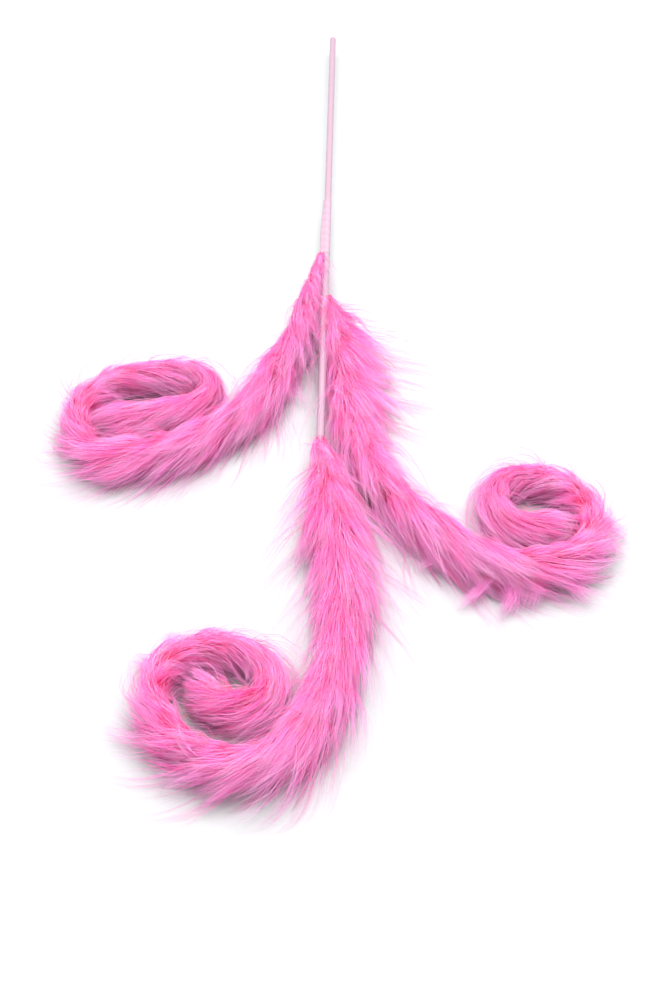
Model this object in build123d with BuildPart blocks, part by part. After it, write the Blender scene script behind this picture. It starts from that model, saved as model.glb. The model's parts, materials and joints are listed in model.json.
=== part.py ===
"""Faux-fur curl spray: a coated wire stem that carries three bendable, fur-covered branches.

All sizes are in millimetres. The stem lies along the Y axis with its free end at the origin,
and +Y points out of that end. The branches lie flat, so every centreline is in the XY plane.
Headings are degrees from -Y, positive towards +X. A branch is cut into links at its bending
points: the fur of one link ends in a ball, and the fur of the next one in a cup around it.
"""

import math
import os
from dataclasses import dataclass

from build123d import *

# Stem: steel core in a plastic coat
BARE_LENGTH = 257.0
STEM_DIAMETER = 5.0
CORE_DIAMETER = 3.2
CORE_GAP = 0.05

# Branch wires and the tape that lashes them to the stem
WIRE_DIAMETER = 1.6
LASH_GAP = 0.15
TAPE_THICKNESS = 0.3
TAPE_GAP = 0.1
TAPE_PRESS = 0.2
TAPE_START_SHARE = 0.65
LEFT_TAPE_TAPER = 40.0
LEFT_LASHING = 30.0
HIDDEN_TAPE_TAPER = 5.0
TAPE_TUCK = 9.0
FOOT_BEND_RADIUS = 60.0

# Fur sleeves, as the space that their pile fills
FUR_RADIUS = 15.0
TIP_THINNER = 2.0
RIGHT_ROOT_THINNER = 1.8
LAST_ROOT_THINNER = 1.0
BARE_ROOT_SKIN = 0.3
SLEEVE_TOP_RADIUS = 7.0
WIRE_BORE_GAP = 0.15
STEM_FUR_GAP = 0.3

# Bending points
BALL_GAP = 0.4
CUP_TRIM = 0.6
WIRE_SET_BACK = 1.0
BARE_BEND_GAP = 0.5
BARE_NECK = 8.0

# Glue plug in each tip
PLUG_DIAMETER = 6.0
PLUG_LENGTH = 6.0

# Curls: neighbouring turns of fur lie this far apart, centre to centre
TURN_GAP = 2.0
TURN_PITCH = 2 * FUR_RADIUS + TURN_GAP

# Spacing of the branch roots along the stem, and how far the stem stops short of the last one
LEFT_TO_RIGHT = 128.0
RIGHT_TO_LAST = 133.0
STEM_STOPS_SHORT = 10.0

# Each branch leans away from the stem over this length before the next sleeve may start
LEFT_LEAD = 50.0
RIGHT_LEAD = 66.0

# Places of the bending points at the branch roots, along the stem from its free end
LEFT_ROOT = BARE_LENGTH + LEFT_TAPE_TAPER + LEFT_LASHING
RIGHT_ROOT = LEFT_ROOT + LEFT_TO_RIGHT
LAST_ROOT = RIGHT_ROOT + RIGHT_TO_LAST
STEM_LENGTH = LAST_ROOT - STEM_STOPS_SHORT

STEM_RADIUS = STEM_DIAMETER / 2
PRESSED_RADIUS = STEM_RADIUS - TAPE_PRESS
WIRE_RADIUS = WIRE_DIAMETER / 2
FOOT_OFFSET = STEM_RADIUS + WIRE_RADIUS + LASH_GAP
TIP_FUR_RADIUS = FUR_RADIUS - TIP_THINNER
RIGHT_SLEEVE = LEFT_TO_RIGHT - LEFT_LEAD
LAST_SLEEVE = RIGHT_TO_LAST - RIGHT_LEAD
RIGHT_ROOT_FUR = FUR_RADIUS - RIGHT_ROOT_THINNER


@dataclass(frozen=True)
class Leg:
    """One straight run or one round bend of a centreline."""

    x: float
    y: float
    heading: float
    length: float = 0.0
    radius: float = 0.0
    turn: float = 0.0

    def plane(self):
        """The plane across the leg's start, facing along the leg."""
        return cross_plane(self.x, self.y, self.heading)

    def centre(self):
        """The centre of a bend, on the side that it turns to."""
        angle = math.radians(self.heading)
        side = math.copysign(self.radius, self.turn)
        return self.x + side * math.cos(angle), self.y + side * math.sin(angle)

    def end(self):
        """The x, y and heading where the leg ends."""
        angle = math.radians(self.heading)
        if not self.turn:
            along = (self.length * math.sin(angle), -self.length * math.cos(angle))
            return self.x + along[0], self.y + along[1], self.heading
        centre_x, centre_y = self.centre()
        side = math.copysign(self.radius, self.turn)
        last = math.radians(self.heading + self.turn)
        return (
            centre_x - side * math.cos(last),
            centre_y - side * math.sin(last),
            self.heading + self.turn,
        )


@dataclass(frozen=True)
class Branch:
    """One fur branch. Bends are (radius, degrees), and curls turn towards side.

    The foot of its wire lies beside the stem on foot_side.
    """

    name: str
    side: int
    foot_side: int
    root: float
    root_x: float
    heading: float
    lash_start: float
    tape_taper: float
    foot_turn: float
    sleeve_length: float
    sleeve_top_x: float
    root_fur_radius: float
    neck_length: float
    arm: tuple
    curl: dict


def cross_plane(x, y, heading):
    """A plane across a centreline at a point, facing along the heading."""
    angle = math.radians(heading)
    facing = (math.sin(angle), -math.cos(angle), 0)
    return Plane(origin=(x, y, 0), x_dir=(0, 0, 1), z_dir=facing)


def bend_legs(start, bends, side):
    """Round bends, each tangent to the one before, from a start of x, y and heading."""
    legs = []
    for radius, degrees in bends:
        leg = Leg(*start, radius=radius, turn=side * degrees)
        legs.append(leg)
        start = leg.end()
    return legs


def in_pitches(*bends):
    """Bends of a curl, with radii in turn pitches, so that the turns stay side by side."""
    return tuple((pitches * TURN_PITCH, degrees) for pitches, degrees in bends)


def tube(legs, radius, mode=Mode.ADD):
    """Add or cut a round bar along the legs, in the part that is being built."""
    for leg in legs:
        with BuildSketch(leg.plane()) as section:
            Circle(radius)
        if leg.turn:
            axis = Axis((*leg.centre(), 0), (0, 0, math.copysign(1, leg.turn)))
            revolve(section.sketch, axis=axis, revolution_arc=abs(leg.turn), mode=mode)
        else:
            extrude(section.sketch, amount=leg.length, mode=mode)


def cone(plane, start_radius, end_radius, length):
    """Add a cone that runs from a plane along its normal."""
    with Locations(plane):
        Cone(start_radius, end_radius, length, align=(Align.CENTER, Align.CENTER, Align.MIN))


def ball_end(plane, radius):
    """Add a half ball on a flat round end."""
    with Locations(plane):
        Sphere(radius, arc_size1=0, arc_size2=90, align=None)


def cup_start(plane, radius):
    """Cut the cup that turns on a ball of this radius, and trim its rim for bending."""
    with Locations(plane):
        Sphere(radius + BALL_GAP, mode=Mode.SUBTRACT)
        Cylinder(
            2 * radius,
            CUP_TRIM * radius,
            align=(Align.CENTER, Align.CENTER, Align.MIN),
            mode=Mode.SUBTRACT,
        )


def stem_bar(radius, start, end, mode=Mode.ADD):
    """Add or cut a round bar on the stem's axis, between two distances from the free end."""
    with BuildSketch(Plane.XZ.offset(start)) as section:
        Circle(radius)
    extrude(section.sketch, amount=end - start, mode=mode)


def lashing_outline(distance, grow, foot_x, foot_grow):
    """The line of a tape pulled round the stem and the branch wire, as a sketch."""
    with BuildSketch(Plane.XZ.offset(distance)) as outline:
        Circle(PRESSED_RADIUS + grow)
        with Locations((foot_x, 0)):
            Circle(WIRE_RADIUS + foot_grow)
        make_hull()
    return outline.sketch


# The three branches. The left neck leans out until the full fur is clear of the stem, and
# the right root stands beside the stem by the same rule.
LEFT_NECK = 95.0
LEFT_CLEARANCE = 3.5
RIGHT_CLEARANCE = 0.8
LAST_SLEEVE_TOP_X = 0.3
LAST_SLEEVE_SLOPE = 0.1373
LEFT_LEAN = math.degrees(
    math.asin((FUR_RADIUS + STEM_RADIUS + LEFT_CLEARANCE - FOOT_OFFSET) / LEFT_NECK)
)

BRANCHES = (
    Branch(
        name="left",
        side=-1,
        foot_side=-1,
        root=LEFT_ROOT,
        root_x=-FOOT_OFFSET,
        heading=-LEFT_LEAN,
        lash_start=LEFT_LASHING,
        tape_taper=LEFT_TAPE_TAPER,
        foot_turn=0.0,
        sleeve_length=0.0,
        sleeve_top_x=0.0,
        root_fur_radius=WIRE_RADIUS + BARE_ROOT_SKIN,
        neck_length=LEFT_NECK,
        arm=((216, 7), (239, 9), (103, 56)),
        curl={
            "curl_outer": in_pitches((0.71, 49), (1.27, 60)),
            "curl_mid": in_pitches((1.27, 60), (2.75, 24)),
            "curl_inner": in_pitches((0.55, 19), (0.48, 125), (2.40, 32)),
        },
    ),
    Branch(
        name="right",
        side=1,
        foot_side=1,
        root=RIGHT_ROOT,
        root_x=RIGHT_ROOT_FUR + STEM_RADIUS + RIGHT_CLEARANCE,
        heading=4.7,
        lash_start=RIGHT_SLEEVE - TAPE_TUCK,
        tape_taper=HIDDEN_TAPE_TAPER,
        foot_turn=22.0,
        sleeve_length=RIGHT_SLEEVE,
        sleeve_top_x=3.2,
        root_fur_radius=RIGHT_ROOT_FUR,
        neck_length=40.0,
        arm=((149, 17), (183, 7), (170, 17), (108, 18)),
        curl={
            "curl_outer": in_pitches((1.50, 55), (1.02, 50)),
            "curl_mid": in_pitches((1.02, 44), (1.18, 51)),
            "curl_inner": in_pitches((0.61, 119), (0.57, 88)),
        },
    ),
    Branch(
        name="last",
        side=-1,
        foot_side=1,
        root=LAST_ROOT,
        root_x=LAST_SLEEVE_TOP_X + LAST_SLEEVE_SLOPE * LAST_SLEEVE,
        heading=8.1,
        lash_start=LAST_SLEEVE - TAPE_TUCK,
        tape_taper=HIDDEN_TAPE_TAPER,
        foot_turn=12.0,
        sleeve_length=LAST_SLEEVE,
        sleeve_top_x=LAST_SLEEVE_TOP_X,
        root_fur_radius=FUR_RADIUS - LAST_ROOT_THINNER,
        neck_length=38.0,
        arm=((177, 14), (274, 8), (97, 25)),
        curl={
            "curl_outer": in_pitches((1.05, 66), (1.65, 50)),
            "curl_mid": in_pitches((0.89, 73), (0.96, 57)),
            "curl_inner": in_pitches((0.96, 40), (0.47, 99), (0.47, 85)),
        },
    ),
)


def neck_leg(branch):
    """The straight run from the root's bending point."""
    return Leg(branch.root_x, -branch.root, branch.heading, length=branch.neck_length)


def link_legs(branch):
    """The bent links of a branch, by name, each as its legs."""
    links = {"arm": bend_legs(neck_leg(branch).end(), branch.arm, branch.side)}
    start = links["arm"][-1].end()
    for name, bends in branch.curl.items():
        links[name] = bend_legs(start, bends, branch.side)
        start = links[name][-1].end()
    return links


def foot_line(branch):
    """How far beside the stem's axis the foot of the wire lies, by its sign on which side."""
    return branch.foot_side * FOOT_OFFSET


def foot_legs(branch):
    """The wire's foot: straight beside the stem, then bent out to the root."""
    foot_x = foot_line(branch)
    top = -(branch.root - branch.lash_start)
    out = abs(branch.root_x - foot_x)
    if not branch.foot_turn:
        return [Leg(foot_x, top, 0.0, length=branch.lash_start - BARE_BEND_GAP)]
    angle = math.radians(branch.foot_turn)
    run = (out - FOOT_BEND_RADIUS * (1 - math.cos(angle))) / math.sin(angle)
    drop = FOOT_BEND_RADIUS * math.sin(angle) + run * math.cos(angle)
    turn = math.copysign(branch.foot_turn, branch.root_x - foot_x)
    straight = Leg(foot_x, top, 0.0, length=branch.lash_start - drop)
    bend = Leg(*straight.end(), radius=FOOT_BEND_RADIUS, turn=turn)
    rest = Leg(*bend.end(), length=run + branch.root_fur_radius - WIRE_SET_BACK)
    return [straight, bend, rest]


def save(part, name):
    """Label a finished piece and write it."""
    part.label = name
    export_step(part, f"parts/{name}.step")


def make_stem_core():
    """Steel wire that stiffens the whole stem."""
    with BuildPart() as core:
        stem_bar(CORE_DIAMETER / 2, 0, STEM_LENGTH)
    save(core.part, "stem_core")


def make_stem_coat():
    """Plastic tube round the core, cut flush with it, and pressed in a little by each tape."""
    reached = 0.0
    with BuildPart() as coat:
        stem_bar(PRESSED_RADIUS, 0, STEM_LENGTH)
        for branch in BRANCHES:
            start, end = tape_span(branch)
            stem_bar(STEM_RADIUS, reached, start)
            reached = end
        stem_bar(STEM_RADIUS, reached, STEM_LENGTH)
        stem_bar(CORE_DIAMETER / 2 + CORE_GAP, 0, STEM_LENGTH, Mode.SUBTRACT)
    save(coat.part, "stem_coat")


def make_foot_wire(branch):
    """The end of a branch wire that lies along the stem."""
    with BuildPart() as wire:
        tube(foot_legs(branch), WIRE_RADIUS)
    save(wire.part, f"{branch.name}_foot_wire")


def tape_span(branch):
    """Where the tape starts and ends, as distances from the stem's free end."""
    top = branch.root - branch.lash_start
    return top - branch.tape_taper, top + foot_legs(branch)[0].length - TAPE_GAP


def make_binding(branch):
    """Tape wound round the stem and the foot of the wire, tapering where it starts."""
    start, end = tape_span(branch)
    foot_x = foot_line(branch)
    full = start + branch.tape_taper
    skin = TAPE_GAP + TAPE_THICKNESS
    with BuildPart() as tape:
        first = lashing_outline(start, skin, TAPE_START_SHARE * foot_x, TAPE_THICKNESS)
        second = lashing_outline(full, skin, foot_x, skin)
        loft([*first.faces(), *second.faces()])
        extrude(second, amount=end - full)
        stem_bar(PRESSED_RADIUS + TAPE_GAP, start, end, Mode.SUBTRACT)
        tube(foot_legs(branch)[:1], WIRE_RADIUS + TAPE_GAP, Mode.SUBTRACT)
    save(tape.part, f"{branch.name}_binding")


def make_root_fur(branch):
    """Fur wrapped round the stem and the binding, down to the root's bending point."""
    top_y = -(branch.root - branch.sleeve_length)
    across = branch.root_x - branch.sleeve_top_x
    length = math.hypot(across, branch.sleeve_length)
    lean = math.degrees(math.asin(across / length))
    with BuildPart() as fur:
        top = cross_plane(branch.sleeve_top_x, top_y, lean)
        cone(top, SLEEVE_TOP_RADIUS, branch.root_fur_radius, length)
        ball_end(cross_plane(branch.root_x, -branch.root, lean), branch.root_fur_radius)
        start, end = tape_span(branch)
        foot_x = foot_line(branch)
        skin = 2 * TAPE_GAP + TAPE_THICKNESS
        outline = lashing_outline(start, skin, foot_x, skin)
        extrude(outline, amount=end - start + TAPE_GAP, mode=Mode.SUBTRACT)
        stem_bar(STEM_RADIUS + STEM_FUR_GAP, 0, STEM_LENGTH + STEM_FUR_GAP, Mode.SUBTRACT)
        tube(foot_legs(branch), WIRE_RADIUS + WIRE_BORE_GAP, Mode.SUBTRACT)
    save(fur.part, f"{branch.name}_root_fur")


def make_neck(branch):
    """The short straight link that swings sideways at the root."""
    leg = neck_leg(branch)
    end = cross_plane(*leg.end())
    run_out = Leg(*leg.end(), length=FUR_RADIUS - WIRE_SET_BACK)
    with BuildPart() as fur:
        cone(leg.plane(), branch.root_fur_radius, FUR_RADIUS, leg.length)
        ball_end(end, FUR_RADIUS)
        if branch.sleeve_length:
            cup_start(leg.plane(), branch.root_fur_radius)
        else:
            with Locations(leg.plane()):
                Sphere(BARE_NECK, mode=Mode.SUBTRACT)
        tube([leg, run_out], WIRE_RADIUS + WIRE_BORE_GAP, Mode.SUBTRACT)
    save(fur.part, f"{branch.name}_neck_fur")

    set_back = BARE_BEND_GAP
    if branch.sleeve_length:
        set_back = branch.root_fur_radius + BALL_GAP + WIRE_SET_BACK
    with BuildPart() as wire:
        tube([leg, run_out], WIRE_RADIUS)
        with Locations(leg.plane()):
            Cylinder(
                2 * WIRE_RADIUS,
                set_back,
                align=(Align.CENTER, Align.CENTER, Align.MIN),
                mode=Mode.SUBTRACT,
            )
    save(wire.part, f"{branch.name}_neck_wire")


def make_link(branch, name, legs, is_tip):
    """One bent link: its fur with a cup and a ball, and the wire inside."""
    start = legs[0].plane()
    end = cross_plane(*legs[-1].end())
    radius = TIP_FUR_RADIUS if is_tip else FUR_RADIUS
    run_out = Leg(*legs[-1].end(), length=radius - WIRE_SET_BACK)
    wire_legs = legs if is_tip else [*legs, run_out]
    with BuildPart() as fur:
        tube(legs, radius)
        ball_end(end, radius)
        cup_start(start, FUR_RADIUS)
        tube(wire_legs, WIRE_RADIUS + WIRE_BORE_GAP, Mode.SUBTRACT)
        if is_tip:
            plug_leg = Leg(*legs[-1].end(), length=PLUG_LENGTH + WIRE_BORE_GAP)
            tube([plug_leg], PLUG_DIAMETER / 2 + WIRE_BORE_GAP, Mode.SUBTRACT)
    save(fur.part, f"{branch.name}_{name}_fur")

    with BuildPart() as wire:
        tube(wire_legs, WIRE_RADIUS)
        with Locations(start):
            Sphere(FUR_RADIUS + BALL_GAP + WIRE_SET_BACK, mode=Mode.SUBTRACT)
    save(wire.part, f"{branch.name}_{name}_wire")


def make_plug(branch, legs):
    """The dot of glue that holds the fur on the end of the wire."""
    leg = Leg(*legs[-1].end(), length=PLUG_LENGTH)
    with BuildPart() as plug:
        tube([leg], PLUG_DIAMETER / 2)
        fillet(plug.faces().sort_by(Axis.Y)[0].edges(), PLUG_DIAMETER / 8)
    save(plug.part, f"{branch.name}_tip_plug")


def print_bending_points(branch):
    """Print where the branch bends, for its joints."""
    points = {"root": (branch.root_x, -branch.root, branch.heading)}
    for name, legs in link_legs(branch).items():
        points[name] = (legs[0].x, legs[0].y, legs[0].heading)
    for name, (x, y, heading) in points.items():
        print(f"{branch.name} {name} x {x:.3f} y {y:.3f} heading {heading:.2f}")


def main():
    os.makedirs("parts", exist_ok=True)
    make_stem_core()
    make_stem_coat()
    for branch in BRANCHES:
        make_foot_wire(branch)
        make_binding(branch)
        if branch.sleeve_length:
            make_root_fur(branch)
        make_neck(branch)
        links = link_legs(branch)
        for name, legs in links.items():
            make_link(branch, name, legs, is_tip=name == "curl_inner")
        make_plug(branch, links["curl_inner"])
        print_bending_points(branch)


main()
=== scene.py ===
"""Faux-fur curl spray: the looks of a coated wire stem and of its three fur-covered branches.

Everything is in metres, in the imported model's frame. The stem lies along Y with its free end at
the origin, the branches lie flat towards -Y, and +Z is up. Headings are in degrees from -Y,
positive towards +X. Each branch is a strip of long-pile fabric wound on a bendable wire: the
backing is one open tube, and the pile is made strand by strand, in locks that are combed
towards the tip.
"""

import json
import logging
import math
from dataclasses import dataclass, field
from enum import Enum

import bpy
import numpy as np
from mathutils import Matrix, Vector


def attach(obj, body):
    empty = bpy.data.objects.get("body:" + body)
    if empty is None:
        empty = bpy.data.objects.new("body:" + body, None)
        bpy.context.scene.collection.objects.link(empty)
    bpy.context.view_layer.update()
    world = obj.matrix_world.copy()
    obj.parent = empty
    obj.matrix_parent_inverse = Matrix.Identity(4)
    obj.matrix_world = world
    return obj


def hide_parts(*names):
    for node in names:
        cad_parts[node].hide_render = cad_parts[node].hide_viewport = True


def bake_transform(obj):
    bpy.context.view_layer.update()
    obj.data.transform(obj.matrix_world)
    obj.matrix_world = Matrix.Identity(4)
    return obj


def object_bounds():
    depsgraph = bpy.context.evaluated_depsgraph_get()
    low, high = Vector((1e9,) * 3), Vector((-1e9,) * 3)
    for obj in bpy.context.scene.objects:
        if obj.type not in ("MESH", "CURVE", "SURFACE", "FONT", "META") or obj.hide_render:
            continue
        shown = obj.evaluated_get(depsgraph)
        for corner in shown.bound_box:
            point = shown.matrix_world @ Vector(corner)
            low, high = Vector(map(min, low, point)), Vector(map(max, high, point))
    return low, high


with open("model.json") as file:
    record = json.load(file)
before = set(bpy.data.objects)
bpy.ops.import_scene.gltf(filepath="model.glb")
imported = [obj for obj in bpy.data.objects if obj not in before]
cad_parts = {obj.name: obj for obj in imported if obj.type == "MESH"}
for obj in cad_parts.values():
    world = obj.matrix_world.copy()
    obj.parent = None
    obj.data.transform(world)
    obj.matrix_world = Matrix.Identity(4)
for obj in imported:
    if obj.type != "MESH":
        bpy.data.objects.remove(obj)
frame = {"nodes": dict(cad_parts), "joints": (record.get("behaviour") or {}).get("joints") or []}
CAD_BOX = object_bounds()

LOG = logging.getLogger("curl_spray")
MM = 0.001
FLOOR_Z = float(CAD_BOX[0][2])
BAKE_MAP = "OFBake"


def linear(hex_colour: str) -> tuple[float, float, float, float]:
    """Turn an sRGB hex colour into the linear colour that shaders take.

    Args:
        hex_colour: Six hex digits, red first.

    Returns:
        Linear red, green, blue and an alpha of 1.
    """
    channels = [int(hex_colour[i : i + 2], 16) / 255 for i in (0, 2, 4)]
    low = [c / 12.92 if c <= 0.04045 else ((c + 0.055) / 1.055) ** 2.4 for c in channels]
    return (*low, 1.0)


def add_node(tree: bpy.types.NodeTree, kind: str, settings: dict, inputs: dict) -> bpy.types.Node:
    """Add a node with its settings, and fill or link its inputs.

    Args:
        tree: The node tree to add to.
        kind: The node's type name.
        settings: Property names and their values.
        inputs: Input names or numbers, each with a value or with the output to link from.

    Returns:
        The new node.
    """
    node = tree.nodes.new(kind)
    for name, value in settings.items():
        setattr(node, name, value)
    for name, value in inputs.items():
        if isinstance(value, bpy.types.NodeSocket):
            tree.links.new(value, node.inputs[name])
        else:
            node.inputs[name].default_value = value
    return node


def start_material(name: str) -> tuple[bpy.types.Material, bpy.types.NodeTree]:
    """Make an empty node material.

    Args:
        name: The material's name.

    Returns:
        The material and its cleared node tree.
    """
    material = bpy.data.materials.new(name)
    material.use_nodes = True
    material.node_tree.nodes.clear()
    return material, material.node_tree


def finish_material(tree: bpy.types.NodeTree, shader: bpy.types.Node) -> None:
    """Send a shader to the material's output."""
    add_node(tree, "ShaderNodeOutputMaterial", {}, {"Surface": shader.outputs[0]})


@dataclass(frozen=True)
class PileFibre:
    """Modacrylic pile, spun, dyed in the mass, sheared and heat-set.

    The eye gets deep magenta between the locks, hot pink along the strands and pale pink
    where the fine tips let the light through. The deep magenta at the roots and in the under coat
    is painted shade, and the pale tips are painted light.
    """

    # Painted shade: the deep magenta at the roots stands in for the shade deep in the pile.
    root: str = "FF1484"
    middle: str = "FFAEEC"
    # Painted light: the pale tips stand in for light shining through them.
    tip: str = "FFDCF6"
    # Also painted shade: the under coat, deep in the pile, is pushed towards this colour.
    dark_lock: str = "FF4CB8"
    pale_lock: str = "FFE2F8"
    roughness: float = 0.42
    ior: float = 1.52
    see_through: float = 0.6

    def build(self) -> bpy.types.Material:
        """Make the material. Its colours read only each strand's own place on the bake map."""
        material, tree = start_material("modacrylic_pile")
        uv = add_node(tree, "ShaderNodeUVMap", {"uv_map": BAKE_MAP}, {})
        split = add_node(tree, "ShaderNodeSeparateXYZ", {}, {0: uv.outputs[0]})
        tone, along = split.outputs[0], split.outputs[1]
        # Painted shade: each strand darkens towards its root.
        painted_root_shade = add_node(
            tree,
            "ShaderNodeMapRange",
            {"interpolation_type": "SMOOTHSTEP"},
            {"Value": along, "From Min": 0.0, "From Max": 0.45},
        )
        # Painted light: each strand pales towards its tip.
        far = add_node(
            tree,
            "ShaderNodeMapRange",
            {"interpolation_type": "SMOOTHSTEP"},
            {"Value": along, "From Min": 0.4, "From Max": 1.0},
        )
        colour = {"data_type": "RGBA"}
        body = add_node(
            tree,
            "ShaderNodeMix",
            colour,
            {0: painted_root_shade.outputs[0], 6: linear(self.root), 7: linear(self.middle)},
        )
        whole = add_node(
            tree,
            "ShaderNodeMix",
            colour,
            {0: far.outputs[0], 6: body.outputs[2], 7: linear(self.tip)},
        )
        dark = add_node(
            tree,
            "ShaderNodeMapRange",
            {},
            {"Value": tone, "From Min": 0.5, "From Max": 0.0, "To Max": 0.55},
        )
        pale = add_node(
            tree,
            "ShaderNodeMapRange",
            {},
            {"Value": tone, "From Min": 0.5, "From Max": 1.0, "To Max": 0.5},
        )
        deeper = add_node(
            tree,
            "ShaderNodeMix",
            colour,
            {0: dark.outputs[0], 6: whole.outputs[2], 7: linear(self.dark_lock)},
        )
        lighter = add_node(
            tree,
            "ShaderNodeMix",
            colour,
            {0: pale.outputs[0], 6: deeper.outputs[2], 7: linear(self.pale_lock)},
        )
        shader = add_node(
            tree,
            "ShaderNodeBsdfPrincipled",
            {},
            {"Base Color": lighter.outputs[2], "Roughness": self.roughness, "IOR": self.ior},
        )
        through = add_node(
            tree, "ShaderNodeBsdfTranslucent", {}, {"Color": lighter.outputs[2]}
        )
        fibre = add_node(
            tree,
            "ShaderNodeMixShader",
            {},
            {0: self.see_through, 1: shader.outputs[0], 2: through.outputs[0]},
        )
        finish_material(tree, fibre)
        return material


@dataclass(frozen=True)
class BackingKnit:
    """Warp-knitted polyester backing, dyed with the pile.

    It is only glimpsed between the locks, as small dark magenta stitches.
    """

    colour: str = "F5127C"
    stitch_colour: str = "DC0A68"
    stitch_mm: float = 1.1
    roughness: float = 0.9

    def build(self) -> bpy.types.Material:
        """Make the material."""
        material, tree = start_material("knitted_backing")
        place = add_node(tree, "ShaderNodeTexCoord", {}, {})
        stitches = add_node(
            tree,
            "ShaderNodeTexWave",
            {"wave_type": "BANDS", "bands_direction": "DIAGONAL"},
            {"Vector": place.outputs["Object"], "Scale": 0.3 / (self.stitch_mm * MM)},
        )
        colour = add_node(
            tree,
            "ShaderNodeMix",
            {"data_type": "RGBA"},
            {0: stitches.outputs["Fac"], 6: linear(self.colour), 7: linear(self.stitch_colour)},
        )
        bump = add_node(
            tree,
            "ShaderNodeBump",
            {},
            {"Height": stitches.outputs["Fac"], "Strength": 0.5, "Distance": 0.3 * MM},
        )
        shader = add_node(
            tree,
            "ShaderNodeBsdfPrincipled",
            {},
            {
                "Base Color": colour.outputs[2],
                "Roughness": self.roughness,
                "Normal": bump.outputs[0],
            },
        )
        finish_material(tree, shader)
        return material


@dataclass(frozen=True)
class StemCoat:
    """Polyethylene coat, extruded over the core wire.

    The eye gets a soft satin line along it, faint draw marks, and a little dust that dulls it.
    """

    colour: str = "977C8B"
    mark_colour: str = "8E7382"
    draw_mark_mm: float = 0.5
    roughness: float = 0.38
    ior: float = 1.51

    def build(self) -> bpy.types.Material:
        """Make the material."""
        material, tree = start_material("polyethylene_coat")
        place = add_node(tree, "ShaderNodeTexCoord", {}, {})
        per_metre = 1 / (self.draw_mark_mm * MM)
        stretched = add_node(
            tree,
            "ShaderNodeMapping",
            {},
            {"Vector": place.outputs["Object"], "Scale": (per_metre, per_metre / 90, per_metre)},
        )
        marks = add_node(
            tree,
            "ShaderNodeTexNoise",
            {},
            {"Vector": stretched.outputs[0], "Scale": 1.0, "Detail": 3.0},
        )
        dust = add_node(
            tree,
            "ShaderNodeTexNoise",
            {},
            {"Vector": place.outputs["Object"], "Scale": 160.0, "Detail": 5.0},
        )
        colour = add_node(
            tree,
            "ShaderNodeMix",
            {"data_type": "RGBA"},
            {0: marks.outputs[0], 6: linear(self.colour), 7: linear(self.mark_colour)},
        )
        dull = add_node(
            tree,
            "ShaderNodeMapRange",
            {},
            {
                "Value": dust.outputs[0],
                "From Min": 0.3,
                "From Max": 0.7,
                "To Min": self.roughness - 0.06,
                "To Max": self.roughness + 0.14,
            },
        )
        bump = add_node(
            tree,
            "ShaderNodeBump",
            {},
            {"Height": marks.outputs[0], "Strength": 0.25, "Distance": 0.1 * MM},
        )
        shader = add_node(
            tree,
            "ShaderNodeBsdfPrincipled",
            {},
            {
                "Base Color": colour.outputs[2],
                "Roughness": dull.outputs[0],
                "IOR": self.ior,
                "Normal": bump.outputs[0],
            },
        )
        finish_material(tree, shader)
        return material


@dataclass(frozen=True)
class FloralTape:
    """Waxed crepe-paper tape, wound in a slant and stretched until it sticks to itself.

    The eye gets slanting laps every few millimetres and fine crepe wrinkles between them.
    """

    colour: str = "9E8291"
    lap_colour: str = "957888"
    lap_mm: float = 7.0
    crepe_mm: float = 0.6
    roughness: float = 0.62

    def build(self) -> bpy.types.Material:
        """Make the material."""
        material, tree = start_material("crepe_floral_tape")
        place = add_node(tree, "ShaderNodeTexCoord", {}, {})
        slant = add_node(
            tree,
            "ShaderNodeMapping",
            {},
            {"Vector": place.outputs["Object"], "Rotation": (0.35, 0.0, 0.55)},
        )
        laps = add_node(
            tree,
            "ShaderNodeTexWave",
            {"wave_type": "BANDS", "bands_direction": "Y", "wave_profile": "SAW"},
            {"Vector": slant.outputs[0], "Scale": 0.314 / (self.lap_mm * MM), "Distortion": 0.6},
        )
        crepe = add_node(
            tree,
            "ShaderNodeTexNoise",
            {},
            {"Vector": slant.outputs[0], "Scale": 1 / (self.crepe_mm * MM), "Detail": 4.0},
        )
        height = add_node(
            tree,
            "ShaderNodeMath",
            {"operation": "MULTIPLY_ADD"},
            {0: crepe.outputs[0], 1: 0.45, 2: laps.outputs["Fac"]},
        )
        colour = add_node(
            tree,
            "ShaderNodeMix",
            {"data_type": "RGBA"},
            {0: laps.outputs["Fac"], 6: linear(self.lap_colour), 7: linear(self.colour)},
        )
        bump = add_node(
            tree,
            "ShaderNodeBump",
            {},
            {"Height": height.outputs[0], "Strength": 0.7, "Distance": 0.25 * MM},
        )
        shader = add_node(
            tree,
            "ShaderNodeBsdfPrincipled",
            {},
            {
                "Base Color": colour.outputs[2],
                "Roughness": self.roughness,
                "Normal": bump.outputs[0],
            },
        )
        finish_material(tree, shader)
        return material


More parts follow.
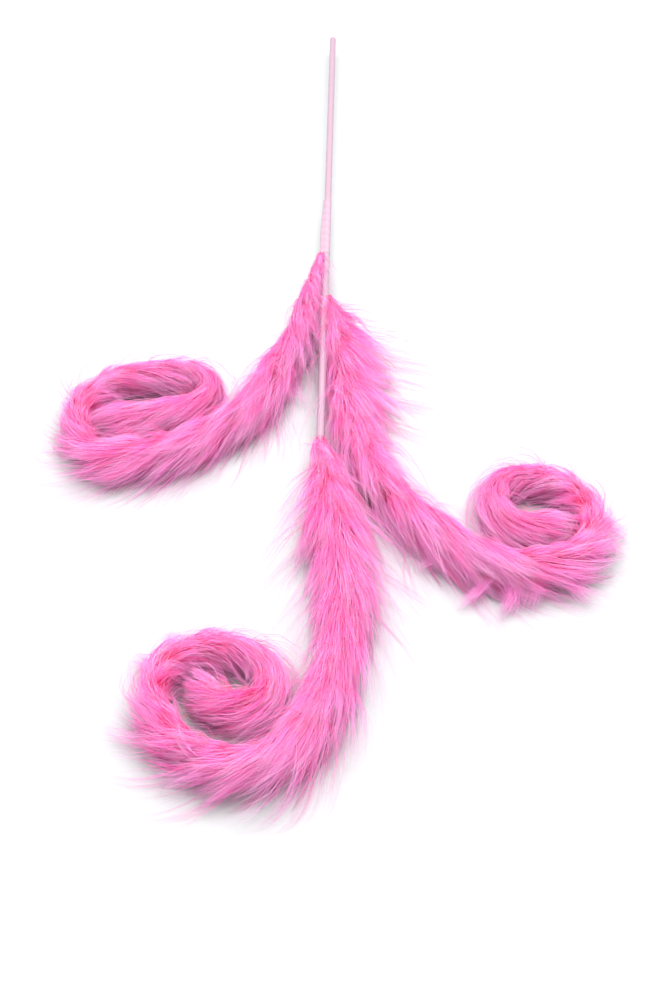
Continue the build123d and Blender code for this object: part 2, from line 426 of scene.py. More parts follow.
@dataclass(frozen=True)
class DrawnSteel:
    """Galvanised steel wire, drawn and then cut with side cutters.

    The eye gets a grey satin metal with faint streaks along the draw and a mottled zinc bloom.
    """

    colour: str = "9A9AA0"
    bloom_colour: str = "C4C5C9"
    streak_mm: float = 0.4
    roughness: float = 0.4

    def build(self) -> bpy.types.Material:
        """Make the material."""
        material, tree = start_material("galvanised_wire")
        place = add_node(tree, "ShaderNodeTexCoord", {}, {})
        streaks = add_node(
            tree,
            "ShaderNodeTexNoise",
            {},
            {
                "Vector": place.outputs["Object"],
                "Scale": 1 / (self.streak_mm * MM),
                "Detail": 4.0,
            },
        )
        colour = add_node(
            tree,
            "ShaderNodeMix",
            {"data_type": "RGBA"},
            {0: streaks.outputs[0], 6: linear(self.colour), 7: linear(self.bloom_colour)},
        )
        rough = add_node(
            tree,
            "ShaderNodeMapRange",
            {},
            {
                "Value": streaks.outputs[0],
                "To Min": self.roughness - 0.1,
                "To Max": self.roughness + 0.2,
            },
        )
        shader = add_node(
            tree,
            "ShaderNodeBsdfPrincipled",
            {},
            {"Base Color": colour.outputs[2], "Metallic": 1.0, "Roughness": rough.outputs[0]},
        )
        finish_material(tree, shader)
        return material


@dataclass(frozen=True)
class HotMelt:
    """Hot-melt adhesive, squeezed out and set.

    The eye gets a milky, slightly wavy blob.
    """

    colour: str = "EFE6DA"
    cloud_colour: str = "E2D3C6"
    wave_mm: float = 2.0
    roughness: float = 0.3
    ior: float = 1.49

    def build(self) -> bpy.types.Material:
        """Make the material."""
        material, tree = start_material("hot_melt_glue")
        place = add_node(tree, "ShaderNodeTexCoord", {}, {})
        waves = add_node(
            tree,
            "ShaderNodeTexNoise",
            {},
            {"Vector": place.outputs["Object"], "Scale": 1 / (self.wave_mm * MM), "Detail": 2.0},
        )
        colour = add_node(
            tree,
            "ShaderNodeMix",
            {"data_type": "RGBA"},
            {0: waves.outputs[0], 6: linear(self.colour), 7: linear(self.cloud_colour)},
        )
        bump = add_node(
            tree,
            "ShaderNodeBump",
            {},
            {"Height": waves.outputs[0], "Strength": 0.4, "Distance": 0.3 * MM},
        )
        shader = add_node(
            tree,
            "ShaderNodeBsdfPrincipled",
            {},
            {
                "Base Color": colour.outputs[2],
                "Roughness": self.roughness,
                "IOR": self.ior,
                "Normal": bump.outputs[0],
            },
        )
        finish_material(tree, shader)
        return material


@dataclass(frozen=True)
class SweepPaper:
    """Matt white background paper from a roll, without a seam.

    The eye gets an even white with the softest of shadows.
    """

    colour: str = "A4A5A6"
    roughness: float = 0.9

    def build(self) -> bpy.types.Material:
        """Make the material."""
        material, tree = start_material("background_paper")
        shader = add_node(
            tree,
            "ShaderNodeBsdfPrincipled",
            {},
            {
                "Base Color": linear(self.colour),
                "Roughness": self.roughness,
                "Specular IOR Level": 0.1,
            },
        )
        finish_material(tree, shader)
        return material


class Coat(Enum):
    """The three kinds of strand in the pile."""

    UNDER = "under"
    GUARD = "guard"
    WISP = "wisp"


@dataclass(frozen=True)
class Strands:
    """How one kind of strand grows. Lengths are in millimetres.

    Attributes:
        locks: Locks to the millimetre of branch.
        per_lock: Strands in a lock.
        length: Shortest and longest strand.
        reach: Nearest and furthest end from the wire, as shares of the fur's radius.
        width: Thickness at the root.
        segments: Straight stretches in a strand.
        gather: How far the strands of a lock close up at their tips, from 0 to 1.
        follow: Least and most that a strand follows the bend of the branch, from 0 to 1.
        sag: How far a tip drops, as a share of the strand's length.
        combed: How strongly it takes the branch's combing.
    """

    locks: float
    per_lock: int
    length: tuple[float, float]
    reach: tuple[float, float]
    width: float
    segments: int
    gather: float
    follow: tuple[float, float]
    sag: float
    combed: float


PILE = {
    Coat.UNDER: Strands(7.0, 3, (9, 15), (0.45, 0.72), 0.32, 3, 0.3, (0.8, 1.0), 0.10, 0.3),
    Coat.GUARD: Strands(3.6, 13, (24, 42), (0.62, 1.15), 0.28, 5, 0.8, (0.25, 0.95), 0.22, 0.75),
    Coat.WISP: Strands(1.0, 5, (36, 60), (1.05, 2.40), 0.18, 6, 0.6, (0.0, 0.45), 0.22, 1.4),
}


@dataclass(frozen=True)
class Comb:
    """A stretch of a branch whose locks are swept to one side, as if combed there.

    Attributes:
        start: Where the stretch starts, in millimetres along the fur.
        end: Where it ends.
        sweep: How far the tips go along X and Y, as shares of the strand's length.
        spread: How far they go away from the wire on both sides, by the same measure.
    """

    start: float
    end: float
    sweep: tuple[float, float] = (0.0, 0.0)
    spread: float = 0.0


@dataclass(frozen=True)
class Tuft:
    """A thick lock that stands out from the fur. Lengths are in millimetres.

    Attributes:
        along: Where it is rooted along the fur.
        reach: From its root to its tip, along X and Y.
        bulge: How far its middle bows to the left of that line.
        strands: How many strands it has.
    """

    along: float
    reach: tuple[float, float]
    bulge: float = 0.0
    strands: int = 110


@dataclass(frozen=True)
class Span:
    """A stretch of fur that becomes one piece.

    Attributes:
        name: What the stretch is called.
        start: Where it starts, in millimetres along the fur.
        end: Where it ends.
        bodies: The one body that it rides on, or the two that meet at its joint.
        joint: Where the two bodies meet, in millimetres along the fur.
    """

    name: str
    start: float
    end: float
    bodies: tuple[str, ...]
    joint: float = 0.0


@dataclass(frozen=True)
class Centreline:
    """The line of a branch's wire, sampled evenly. Lengths are in millimetres.

    Attributes:
        points: Places along the line, one row of X and Y each.
        headings: The heading at each place, in radians from -Y.
        length: The length of the fur on the line, which itself runs on past the tip.
        joints: Where each joint lies along the line, by the joint's name.
    """

    points: np.ndarray
    headings: np.ndarray
    length: float
    joints: dict[str, float]

    def at(self, along: np.ndarray) -> tuple[np.ndarray, np.ndarray]:
        """Find places and headings.

        Args:
            along: Distances along the line.

        Returns:
            Places with a last axis of X and Y, and headings in radians.
        """
        steps = np.arange(len(self.points), dtype=float)
        place = np.stack([np.interp(along, steps, self.points[:, i]) for i in (0, 1)], -1)
        return place, np.interp(along, steps, self.headings)


def hold_in(points: np.ndarray) -> np.ndarray:
    """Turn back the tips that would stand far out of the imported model's box.

    Args:
        points: Strand points in millimetres, with a last axis of X, Y and Z.

    Returns:
        The same points, none of them further out than the proud lengths along X and Y.
    """
    proud = np.array([15.0, 26.0])
    low, high = (np.array(corner[:2]) / MM for corner in CAD_BOX)
    over = np.clip(points[..., :2] - high, 0, None)
    under = np.clip(low - points[..., :2], 0, None)
    points[..., :2] -= over - proud * np.tanh(over / proud)
    points[..., :2] += under - proud * np.tanh(under / proud)
    return points


def tube_rings(points: np.ndarray, widths: np.ndarray, turn: np.ndarray) -> np.ndarray:
    """Place a three-cornered ring round every point of every strand but the last.

    Args:
        points: Strand points, by strand, point and axis.
        widths: The strand's width at each point.
        turn: The angle of each strand's first corner, in radians.

    Returns:
        Ring corners, by strand, point, corner and axis.
    """
    along = np.gradient(points, axis=1)
    along /= np.linalg.norm(along, axis=2, keepdims=True) + 1e-9
    up = np.zeros_like(along)
    up[..., 2] = 1.0
    side = np.cross(along, up)
    side /= np.linalg.norm(side, axis=2, keepdims=True) + 1e-9
    over = np.cross(side, along)
    angle = turn[:, None, None] + np.arange(3) * 2 * math.pi / 3
    ring = np.cos(angle)[..., None] * side[:, :, None] + np.sin(angle)[..., None] * over[:, :, None]
    rings = points[:, :, None] + ring * widths[:, :, None, None] / 2
    return rings[:, :-1]


def strand_mesh(name: str, groups: list[tuple[np.ndarray, np.ndarray, np.ndarray]]) -> bpy.types.Mesh:
    """Make one mesh of closed, tapering strands.

    Args:
        name: The mesh's name.
        groups: For each kind of strand, its ring corners, tips and tones.

    Returns:
        The mesh, with its bake map: tone across and root to tip up.
    """
    vertices, faces, uvs = [], [], []
    first = 0
    for rings, tips, tones in groups:
        count, stretches = rings.shape[:2]
        each = stretches * 3 + 1
        block = np.concatenate([rings.reshape(count, -1, 3), tips[:, None]], axis=1)
        vertices.append(block.reshape(-1, 3))
        pattern = [(0, 2, 1)]
        for k in range(stretches - 1):
            for c in range(3):
                a, b = 3 * k + c, 3 * k + (c + 1) % 3
                pattern += [(a, b, b + 3), (a, b + 3, a + 3)]
        last = 3 * (stretches - 1)
        pattern += [(last + c, last + (c + 1) % 3, each - 1) for c in range(3)]
        pattern = np.array(pattern)
        base = first + each * np.arange(count)
        faces.append((base[:, None, None] + pattern[None]).reshape(-1, 3))
        up = np.minimum(pattern // 3 / stretches, 1.0)
        up[pattern == each - 1] = 1.0
        across = np.broadcast_to(tones[:, None, None], (count, *pattern.shape))
        uvs.append(np.stack([across, np.broadcast_to(up, across.shape)], -1).reshape(-1, 2))
        first += each * count
    vertices, faces, uvs = (np.concatenate(part) for part in (vertices, faces, uvs))
    mesh = bpy.data.meshes.new(name)
    mesh.vertices.add(len(vertices))
    mesh.vertices.foreach_set("co", (vertices * MM).astype(np.float32).ravel())
    mesh.loops.add(len(faces) * 3)
    mesh.loops.foreach_set("vertex_index", faces.astype(np.int32).ravel())
    mesh.polygons.add(len(faces))
    mesh.polygons.foreach_set("loop_start", np.arange(0, len(faces) * 3, 3, dtype=np.int32))
    mesh.polygons.foreach_set("use_smooth", np.ones(len(faces), dtype=bool))
    layer = mesh.uv_layers.new(name=BAKE_MAP)
    layer.data.foreach_set("uv", (0.01 + 0.98 * uvs).astype(np.float32).ravel())
    mesh.update(calc_edges=True)
    return mesh


@dataclass
class FurBranch:
    """One branch: its pile and its backing, in pieces along the wire.

    Sizes are in millimetres.

    Attributes:
        name: The branch's name, which its bodies, joints and nodes start with.
        side: 1 where the curl turns towards +X, and -1 where it turns the other way.
        root_offset: From the root joint to where the fur starts, along X and Y.
        neck: The straight run from the root joint.
        links: The bends of each link, as radius and degrees, by the link's name.
        combs: Stretches whose locks are swept aside.
        tufts: Locks that stand out by themselves.
        seed: Start of the branch's random numbers.
        fur_radius: From the wire to where most strands end.
        backing_radius: From the wire to the fabric's face.
        root_taper: Length over which the fur grows to its full radius.
        root_share: Share of the full radius at the start.
        blend_reach: Half of the length over which a piece bends between its bodies.
        fall: How far all tips lie to one side, along X and Y, as shares of their length.
    """

    name: str
    side: int
    root_offset: tuple[float, float]
    neck: float
    links: dict[str, tuple[tuple[float, float], ...]]
    combs: tuple[Comb, ...]
    tufts: tuple[Tuft, ...]
    seed: int
    fur_radius: float = 13.0
    backing_radius: float = 4.0
    root_taper: float = 110.0
    root_share: float = 0.38
    # blend_reach: Meant as half of the length over which a piece would bend between its bodies. It is
    # not used.
    blend_reach: float = 16.0
    fall: tuple[float, float] = (0.0, -0.24)
    line: Centreline = field(init=False)

    def __post_init__(self) -> None:
        """Trace the line once the sizes are known."""
        self.line = self.trace()

    def joint(self, motion: str) -> dict:
        """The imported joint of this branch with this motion."""
        wanted = f"{self.name}_{motion}"
        return next(j for j in frame["joints"] if j["name"] == wanted)

    def trace(self) -> Centreline:
        """Trace the wire's line from the root joint's place, and round its corners."""
        root = np.array(self.joint("swing")["pos_m"][:2]) / MM
        arm = np.array(self.joint("lift")["pos_m"][:2]) / MM
        start = root + np.array(self.root_offset)
        lead = float(np.linalg.norm(root - start))
        legs = [(lead, self.heading_of(start, root), 0.0)] if lead > 1 else []
        heading = self.heading_of(root, arm)
        legs.append((self.neck, heading, 0.0))
        joints = {"swing": lead, "lift": lead + self.neck}
        along = lead + self.neck
        names = {"curl_outer": "curl", "curl_mid": "curl_mid", "curl_inner": "curl_inner"}
        for link, bends in self.links.items():
            if link in names:
                joints[names[link]] = along
            for radius, degrees in bends:
                turn = self.side * math.radians(degrees)
                legs.append((radius * abs(turn), heading, turn))
                heading += turn
                along += radius * abs(turn)
        run_out = 80.0
        legs.append((run_out, heading, 0.0))
        steps = np.arange(0.5, along + run_out, 1.0)
        ends = np.cumsum([leg[0] for leg in legs])
        which = np.minimum(np.searchsorted(ends, steps), len(legs) - 1)
        begun = steps - np.concatenate([[0.0], ends[:-1]])[which]
        lengths = np.array([leg[0] for leg in legs])
        firsts = np.array([leg[1] for leg in legs])
        turns = np.array([leg[2] for leg in legs])
        headings = firsts[which] + turns[which] * begun / lengths[which]
        kernel = np.hanning(19)
        padded = np.pad(headings, 9, mode="edge")
        smooth = np.convolve(padded, kernel / kernel.sum(), mode="valid")
        moves = np.stack([np.sin(smooth), -np.cos(smooth)], -1)
        points = start + np.concatenate([np.zeros((1, 2)), np.cumsum(moves, axis=0)])
        return Centreline(points, np.append(smooth, smooth[-1]), along, joints)

    @staticmethod
    def heading_of(start: np.ndarray, end: np.ndarray) -> float:
        """The heading from one place to another, in radians from -Y."""
        across, along = end - start
        return math.atan2(across, -along)

    def radius_share(self, along: np.ndarray) -> np.ndarray:
        """How full the fur is along the branch, as a share of its radius."""
        grown = np.clip(along / self.root_taper, 0, 1)
        root = self.root_share + (1 - self.root_share) * grown**0.8
        past = np.clip((along - self.line.length + 6.0) / 34.0, 0, 1)
        return root * np.sqrt(1 - 0.9 * past**2)

    def combed(self, along: np.ndarray) -> tuple[np.ndarray, np.ndarray]:
        """How far the locks at these places are swept aside, and spread both ways."""
        sweep = np.zeros((*along.shape, 2))
        spread = np.zeros(along.shape)
        for comb in self.combs:
            middle = (comb.start + comb.end) / 2
            half = (comb.end - comb.start) / 2
            share = np.clip(1.15 * (1 - (np.abs(along - middle) / half) ** 2), 0, 1)
            sweep += share[..., None] * np.array(comb.sweep)
            spread += share * comb.spread
        return sweep, spread

    def grow(
        self,
        root: np.ndarray,
        angle: np.ndarray,
        length: np.ndarray,
        reach: np.ndarray,
        follow: np.ndarray,
        swirl: np.ndarray,
        sag: np.ndarray,
        look: Strands,
    ) -> np.ndarray:
        """Work out the points of strands.

        Args:
            root: Where each strand is rooted, along the branch.
            angle: Where it is rooted round the wire, from the outside of the curl, in radians.
            length: Its length.
            reach: How far from the wire it ends, as a share of the fur's radius.
            follow: How far it follows the bend of the branch, from 0 to 1.
            swirl: How far it turns round the wire on its way, in radians.
            sag: How far its tip drops, as a share of its length.
            look: The kind of strand.

        Returns:
            Points in millimetres, by strand, point and axis.
        """
        t = np.linspace(0, 1, look.segments + 1)[None]
        share = self.radius_share(root)[:, None]
        size = np.clip(share, 0.45, 1.0)
        long = length[:, None] * size
        advance = long * (0.30 * t + 0.62 * t**1.7)
        start = self.backing_radius * np.clip(share, 0.55, 1)
        there = self.radius_share(root[:, None] + advance)
        full = self.fur_radius * reach[:, None] * np.minimum(there, share + 0.15)
        away = start + (full - start) * (1 - (1 - t) ** 2.1)
        around = angle[:, None] + swirl[:, None] * t
        straight = self.place(root[:, None] + 0 * t, around, away)
        home, heading = self.line.at(root)
        forward = np.stack([np.sin(heading), -np.cos(heading), 0 * heading], -1)
        straight = straight + forward[:, None] * advance[..., None]
        curved = self.place(root[:, None] + advance, around, away)
        mix = follow[:, None, None]
        points = curved * mix + straight * (1 - mix)
        sweep, spread = self.combed(root)
        outer = self.outward(heading)
        fan = spread[:, None] * np.cos(angle)[:, None] * outer
        inward = (1 - np.cos(angle)[:, None]) / 2
        moved = look.combed * (sweep * inward + fan) + np.array(self.fall)
        aside = moved[:, None] * (long * t**1.6)[..., None]
        points[..., :2] += aside
        points[..., 2] -= sag[:, None] * long * t**2
        high = np.clip(points[..., 2] - self.fur_radius + 6.5, 0, None)
        points[..., 2] -= high - 8 * np.tanh(high / 8)
        return self.rest_on_floor(points, outer, np.cos(angle))

    def rest_on_floor(self, points: np.ndarray, outer: np.ndarray, lean: np.ndarray) -> np.ndarray:
        """Lay what would go below the floor on it, and push it out sideways."""
        floor = FLOOR_Z / MM + 0.5
        low = np.clip(floor - points[..., 2], 0, None)
        points[..., 2] = np.maximum(points[..., 2], floor + 0.12 * np.sqrt(low))
        push = 0.55 * low * np.sign(lean)[:, None]
        points[..., :2] += push[..., None] * outer[:, None]
        return points

    def drift(self, along: np.ndarray, angle: np.ndarray, salt: int) -> np.ndarray:
        """A smooth wandering field over the fur, from about -1 to 1.

        Args:
            along: Places along the branch.
            angle: Places round the wire, in radians.
            salt: Tells one field from another.

        Returns:
            The field at each place.
        """
        random = np.random.default_rng(self.seed * 100 + salt)
        field_here = np.zeros_like(along)
        for wave in (17.0, 26.0, 41.0, 66.0):
            turns = random.integers(1, 4)
            phase = random.uniform(0, 2 * math.pi)
            field_here += np.sin(2 * math.pi * along / wave + turns * angle + phase)
        return field_here / 2

    def outward(self, heading: np.ndarray) -> np.ndarray:
        """The flat direction to the outside of the curl, at these headings."""
        return -self.side * np.stack([np.cos(heading), np.sin(heading)], -1)

    def place(self, along: np.ndarray, around: np.ndarray, away: np.ndarray) -> np.ndarray:
        """Places at distances along, angles round, and distances from, the wire."""
        line, heading = self.line.at(along)
        outer = self.outward(heading)
        flat = line + outer * (away * np.cos(around))[..., None]
        return np.concatenate([flat, (away * np.sin(around))[..., None]], -1)

    def coat(self, kind: Coat, span: Span, random: np.random.Generator) -> tuple:
        """Grow one kind of strand on a span.

        Args:
            kind: Which kind.
            span: Where.
            random: The branch's random numbers.

        Returns:
            Ring corners, tips and tones of the strands.
        """
        look = PILE[kind]
        locks = max(1, round(look.locks * (span.end - span.start)))
        count = locks * look.per_lock
        lock = np.repeat(np.arange(locks), look.per_lock)
        root = random.uniform(span.start, span.end, locks)
        angle = random.uniform(0, 2 * math.pi, locks)
        length = random.uniform(*look.length, locks)
        reach = random.uniform(*look.reach, locks)
        follow = random.uniform(*look.follow, locks)
        inner = root > self.line.joints["curl_mid"]
        follow = np.where((np.cos(angle) < 0) | inner, np.maximum(follow, 0.7), follow)
        swirl = random.normal(0, 0.25, locks) + 0.45 * self.drift(root, angle, 1)
        swirl += np.where(random.random(locks) < 0.15, random.normal(0, 0.9, locks), 0)
        reach *= 1 + 0.14 * self.drift(root, angle, 2)
        inside = np.clip(-np.cos(angle), 0, 1) * (root > self.line.joints["curl"])
        reach *= 1 - 0.45 * inside
        reach *= np.where(inner, 0.88, 1.0)
        sag = look.sag * random.uniform(0.4, 1.6, locks)
        guide = self.grow(root, angle, length, reach, follow, swirl, sag, look)
        own = self.grow(
            root[lock] + random.normal(0, 1.6, count),
            angle[lock] + random.normal(0, 0.32, count),
            length[lock] * random.uniform(0.86, 1.06, count),
            reach[lock] * random.uniform(0.86, 1.1, count),
            follow[lock],
            swirl[lock] + random.normal(0, 0.12, count),
            sag[lock] * random.uniform(0.7, 1.3, count),
            look,
        )
        t = np.linspace(0, 1, look.segments + 1)
        gather = look.gather * random.uniform(0.6, 1.15, locks)[lock]
        close = np.clip(gather, 0, 0.95)[:, None, None] * (t**1.1)[None, :, None]
        points = own * (1 - close) + guide[lock] * close
        frizz = random.normal(0, 1.0, (count, 3))[:, None] * np.sin(t * 4.2)[None, :, None]
        points = points + frizz * np.array([0.45, 0.45, 0.3]) * t[None, :, None]
        points[..., 2] = np.maximum(points[..., 2], FLOOR_Z / MM + 0.3)
        points = hold_in(points)
        widths = look.width * (1 - t[None] ** 1.5) * random.uniform(0.75, 1.25, count)[:, None]
        rings = tube_rings(points, widths, random.uniform(0, 2 * math.pi, count))
        tone = random.beta(1.2, 1.2, locks)[lock] + random.normal(0, 0.16, count)
        # Painted shade: the short under coat, deep in the pile, gets only the darker tones.
        if kind is Coat.UNDER:
            tone = 0.45 * tone
        return rings, points[:, -1], np.clip(tone, 0, 1)

    def tuft(self, tuft: Tuft, random: np.random.Generator) -> tuple:
        """Grow one lock that stands out, from the fur's lower edge to its tip.

        Args:
            tuft: The lock.
            random: The branch's random numbers.

        Returns:
            Ring corners, tips and tones of its strands.
        """
        look = PILE[Coat.GUARD]
        count = tuft.strands
        t = np.linspace(0, 1, look.segments + 3)[None, :, None]
        home = self.line.at(np.array(tuft.along))[0]
        reach = np.array(tuft.reach)
        side = np.array([-reach[1], reach[0]]) / np.linalg.norm(reach)
        start = home + random.normal(0, 3.4, (count, 2))
        end = home + reach * random.uniform(0.72, 1.05, (count, 1))
        end += side * random.normal(0, 3.0, (count, 1))
        bow = side * (tuft.bulge + random.normal(0, 1.2, (count, 1)))
        flat = start[:, None] * (1 - t) + end[:, None] * t + bow[:, None] * 4 * t * (1 - t)
        flat += 0.5 * random.normal(0, 1, (count, 1, 2)) * np.sin(5 * t)
        low = FLOOR_Z / MM + random.uniform(1, 7, (count, 1))
        high = random.uniform(-6, 3, (count, 1))
        height = high + (low - high) * t[..., 0] ** 0.8
        points = hold_in(np.concatenate([flat, height[..., None]], -1))
        widths = look.width * (1 - t[..., 0] ** 1.5) * random.uniform(0.8, 1.2, (count, 1))
        rings = tube_rings(points, widths, random.uniform(0, 2 * math.pi, count))
        return rings, points[:, -1], random.uniform(0.2, 0.9, count)

    def spans(self) -> list[Span]:
        """Cut the branch into pieces: one across each joint, and one for each long rest."""
        joints = self.line.joints
        order = [("swing", "root", "neck"), ("lift", "neck", "arm"), ("curl", "arm", "curl_outer")]
        order += [("curl_mid", "curl_outer", "curl_mid"), ("curl_inner", "curl_mid", "curl_inner")]
        if joints["swing"] < 1:
            order = order[1:]
        stops = [0.0, *(joints[name] for name, _, _ in order), self.line.length]
        reach = 42.0
        spans = []
        reached = 0.0
        for i, (motion, before, after) in enumerate(order):
            here = stops[i + 1]
            start = max(here - reach, (stops[i] + here) / 2 if i else here - reach, reached)
            end = min(here + reach, (here + stops[i + 2]) / 2)
            first = self.body(before)
            if start - reached > 12:
                spans.append(Span(f"{before}_run", reached, start, (first,)))
            else:
                start = reached
            spans.append(Span(f"{motion}_bend", start, end, (first, self.body(after)), here))
            reached = end
        spans.append(Span("tip_run", reached, self.line.length, (self.body("curl_inner"),)))
        return spans

    def body(self, link: str) -> str:
        """The body that holds a link."""
        return "root" if link == "root" else f"{self.name}_{link}"

    def attach(self, piece: bpy.types.Object, span: Span) -> None:
        """Make a piece ride on its body; a piece between two bodies rides on neither, and keeps its
        place baked into its mesh.
        """
        if len(span.bodies) == 1:
            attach(piece, span.bodies[0])
            return
        here, heading = self.line.at(np.array(span.joint))
        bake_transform(piece)

    def pile_piece(self, span: Span, material: bpy.types.Material) -> bpy.types.Object:
        """Make the pile of one span."""
        random = np.random.default_rng(self.seed + round(span.start))
        groups = [self.coat(kind, span, random) for kind in Coat]
        here = [t for t in self.tufts if span.start <= t.along < span.end]
        groups += [self.tuft(t, random) for t in here]
        mesh = strand_mesh(f"{self.name}_pile_{span.name}", groups)
        mesh.materials.append(material)
        piece = bpy.data.objects.new(mesh.name, mesh)
        bpy.context.scene.collection.objects.link(piece)
        return piece

    def backing_piece(self, span: Span, material: bpy.types.Material) -> bpy.types.Object:
        """Make the backing of one span: an open tube whose long edges meet underneath."""
        along = np.arange(span.start, span.end + 0.01, (span.end - span.start) / 24)
        seam = 0.04 * math.pi
        around = np.linspace(-math.pi / 2 + seam, 1.5 * math.pi - seam, 20)
        share = np.clip(self.radius_share(along), 0.55, 1)
        ripple = 1 + 0.05 * np.sin(along[:, None] * 0.9 + 2 * around[None])
        away = self.backing_radius * share[:, None] * ripple
        places = self.place(along[:, None] + 0 * around, around[None] + 0 * away, away) * MM
        rows, columns = places.shape[:2]
        index = np.arange(rows * columns).reshape(rows, columns)
        corners = (index[:-1, :-1], index[1:, :-1], index[1:, 1:], index[:-1, 1:])
        faces = np.stack(corners, -1).reshape(-1, 4)
        mesh = bpy.data.meshes.new(f"{self.name}_backing_{span.name}")
        mesh.from_pydata(places.reshape(-1, 3).tolist(), [], faces.tolist())
        mesh.polygons.foreach_set("use_smooth", np.ones(len(faces), dtype=bool))
        mesh.materials.append(material)
        piece = bpy.data.objects.new(mesh.name, mesh)
        bpy.context.scene.collection.objects.link(piece)
        return piece

    def build(self, pile: bpy.types.Material, backing: bpy.types.Material) -> None:
        """Make all the pieces, and let them stand for the plain fur solids."""
        for span in self.spans():
            strip = self.backing_piece(span, backing)
            hair = self.pile_piece(span, pile)
            for piece in (strip, hair):
                self.attach(piece, span)
            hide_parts(*self.stood_for(span))
            LOG.info("%s: %d faces", hair.name, len(hair.data.polygons))

    def stood_for(self, span: Span) -> list[str]:
        """The plain fur solids that a span stands for."""
        names = [f"{self.name}_root_fur" if b == "root" else f"{b}_fur" for b in span.bodies]
        return [n for n in names if n in frame["nodes"]]


@dataclass
class Stem:
    """The stem, the tapes, the wires and the glue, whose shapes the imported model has."""

    finishes: dict[str, tuple[str, ...]] = field(
        default_factory=lambda: {
            "coat": ("stem_coat",),
            "tape": ("left_binding", "right_binding", "last_binding"),
        }
    )

    def dress(self) -> None:
        """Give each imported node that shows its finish."""
        coat, tape = StemCoat().build(), FloralTape().build()
        steel, glue = DrawnSteel().build(), HotMelt().build()
        for name, node in frame["nodes"].items():
            finish = steel
            if name in self.finishes["coat"]:
                finish = coat
            elif name in self.finishes["tape"]:
                finish = tape
            elif name.endswith("_tip_plug"):
                finish = glue
            elif name.endswith("_fur"):
                continue
            node.data.materials.clear()
            node.data.materials.append(finish)
            LOG.info("%s: %s", name, finish.name)


@dataclass(frozen=True)
class Studio:
    """The floor, the soft light and the camera. Lengths are in metres.

    Attributes:
        camera_place: Where the camera stands.
        camera_pitch: How far it looks down, in degrees.
        camera_yaw: How far it is turned towards -X from +Y, in degrees.
        lens_mm: Its focal length, on a 36 mm frame.
    """

    camera_place: tuple[float, float, float] = (0.0173, -1.155, 0.58)
    camera_pitch: float = 45.0
    camera_yaw: float = 0.81
    lens_mm: float = 50.0
    floor_size: float = 8.0
    sky_strength: float = 1.4
    key_power: float = 31.0
    key_size: float = 1.2

    def floor(self) -> None:
        """Lay the background paper."""
        half = self.floor_size / 2
        corners = [(-half, -half), (half, -half), (half, half), (-half, half)]
        mesh = bpy.data.meshes.new("background_paper")
        mesh.from_pydata([(x, y, FLOOR_Z) for x, y in corners], [], [(0, 1, 2, 3)])
        mesh.materials.append(SweepPaper().build())
        floor = bpy.data.objects.new("background_paper", mesh)
        bpy.context.scene.collection.objects.link(floor)

    def light(self) -> None:
        """Set a white surround and one large soft lamp above, a little behind the spray."""
        world = bpy.data.worlds.new("white_tent")
        bpy.context.scene.world = world
        world.use_nodes = True
        world.node_tree.nodes.clear()
        sky = add_node(
            world.node_tree,
            "ShaderNodeBackground",
            {},
            {"Color": (1.0, 1.0, 1.0, 1.0), "Strength": self.sky_strength},
        )
        add_node(world.node_tree, "ShaderNodeOutputWorld", {}, {"Surface": sky.outputs[0]})
        lamp = bpy.data.lights.new("soft_box", "AREA")
        lamp.energy = self.key_power
        lamp.size = self.key_size
        box = bpy.data.objects.new("soft_box", lamp)
        box.location = (0.05, -0.38, 1.1)
        target = Vector((0.0, -0.45, 0.0)) - Vector(box.location)
        box.rotation_euler = target.to_track_quat("-Z", "Y").to_euler()
        bpy.context.scene.collection.objects.link(box)

    def camera(self) -> None:
        """Stand the camera."""
        data = bpy.data.cameras.new("camera")
        data.lens = self.lens_mm
        data.sensor_width = 36.0
        data.dof.use_dof = False
        camera = bpy.data.objects.new("camera", data)
        camera.location = self.camera_place
        tilt = math.radians(90 - self.camera_pitch)
        camera.rotation_euler = (tilt, 0.0, math.radians(self.camera_yaw))
        bpy.context.scene.collection.objects.link(camera)
        bpy.context.scene.camera = camera

    def build(self) -> None:
        """Set up the whole studio, with plain display of colours."""
        self.floor()
        self.light()
        self.camera()
        bpy.context.scene.cycles.diffuse_bounces = 12
        view = bpy.context.scene.view_settings
        view.view_transform = "Standard"
        view.look = "None"


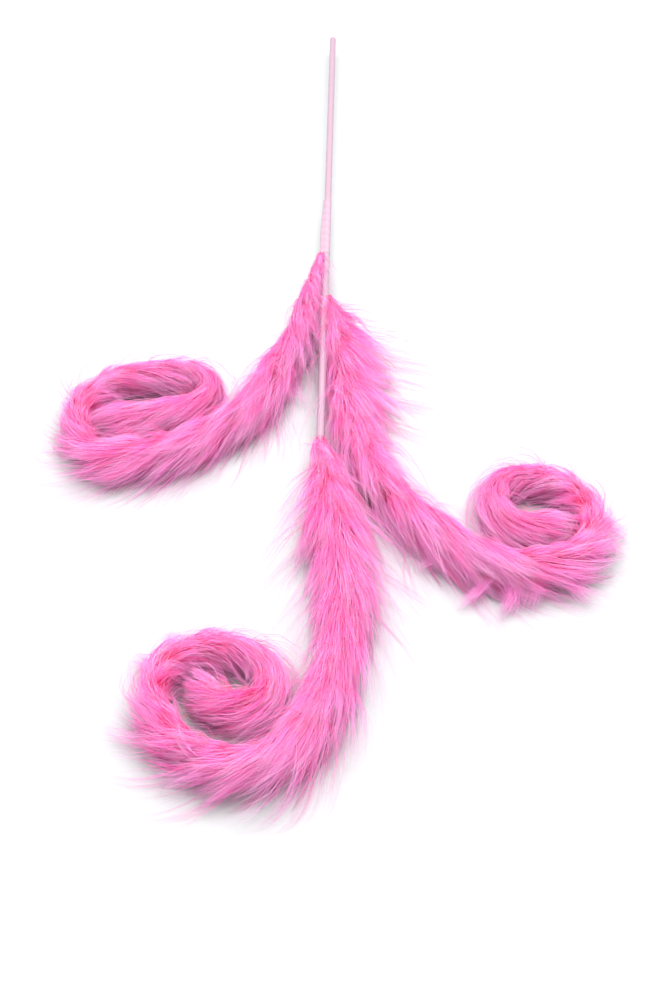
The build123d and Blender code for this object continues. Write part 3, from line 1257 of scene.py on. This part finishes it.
def branches() -> list[FurBranch]:
    """The three branches of the spray."""
    left = FurBranch(
        name="left",
        side=-1,
        root_offset=(0.0, 0.0),
        neck=95.0,
        links={
            "arm": ((216, 7), (239, 9), (103, 56)),
            "curl_outer": ((22.7, 49), (40.6, 60)),
            "curl_mid": ((40.6, 60), (88.0, 24)),
            "curl_inner": ((17.6, 19), (15.4, 125), (76.8, 32)),
        },
        combs=(Comb(-60, 110, sweep=(0.8, -0.15)), Comb(90, 230, sweep=(0.05, -0.35))),
        tufts=(Tuft(150, (9, -34), 2, 40), Tuft(128, (26, -30), -3, 26)),
        seed=11,
    )
    right = FurBranch(
        name="right",
        side=1,
        root_offset=(-13.3, 78.0),
        neck=40.0,
        links={
            "arm": ((149, 17), (183, 7), (170, 17), (108, 18)),
            "curl_outer": ((48.0, 55), (32.6, 50)),
            "curl_mid": ((32.6, 44), (37.8, 51)),
            "curl_inner": ((19.5, 119), (18.2, 88)),
        },
        combs=(Comb(5, 125, sweep=(0.95, 0.5)), Comb(180, 270, sweep=(0.05, -0.5))),
        tufts=(
            Tuft(284, (-8, -36), 4, 150),
            Tuft(276, (-26, -30), 3, 80),
            Tuft(294, (-2, -30), 3, 110),
            Tuft(246, (-22, -16), 3, 60),
            Tuft(322, (8, -32), -7, 120),
            Tuft(352, (25, -4), 2, 90),
            Tuft(342, (22, -14), 2, 50),
        ),
        seed=23,
        root_taper=50.0,
    )
    last = FurBranch(
        name="last",
        side=-1,
        root_offset=(-9.2, 67.0),
        neck=38.0,
        links={
            "arm": ((177, 14), (274, 8), (97, 25)),
            "curl_outer": ((33.6, 66), (52.8, 50)),
            "curl_mid": ((28.5, 73), (30.7, 57)),
            "curl_inner": ((30.7, 40), (15.0, 99), (15.0, 85)),
        },
        combs=(Comb(0, 130, spread=0.5), Comb(130, 230, spread=0.1)),
        tufts=(
            Tuft(240, (-36, -22), 4, 40),
            Tuft(300, (-44, 6), 4, 24),
            Tuft(345, (-24, 14), 2, 110),
            Tuft(357, (-16, 24), 2, 110),
            Tuft(370, (-5, 26), 2, 70),
        ),
        seed=37,
        root_taper=50.0,
    )
    return [left, right, last]


def main() -> None:
    """Build the looks in order."""
    logging.basicConfig(level=logging.INFO, format="%(name)s %(message)s")
    Studio().build()
    Stem().dress()
    pile, backing = PileFibre().build(), BackingKnit().build()
    for branch in branches():
        branch.build(pile, backing)


if __name__ == "__main__":
    main()
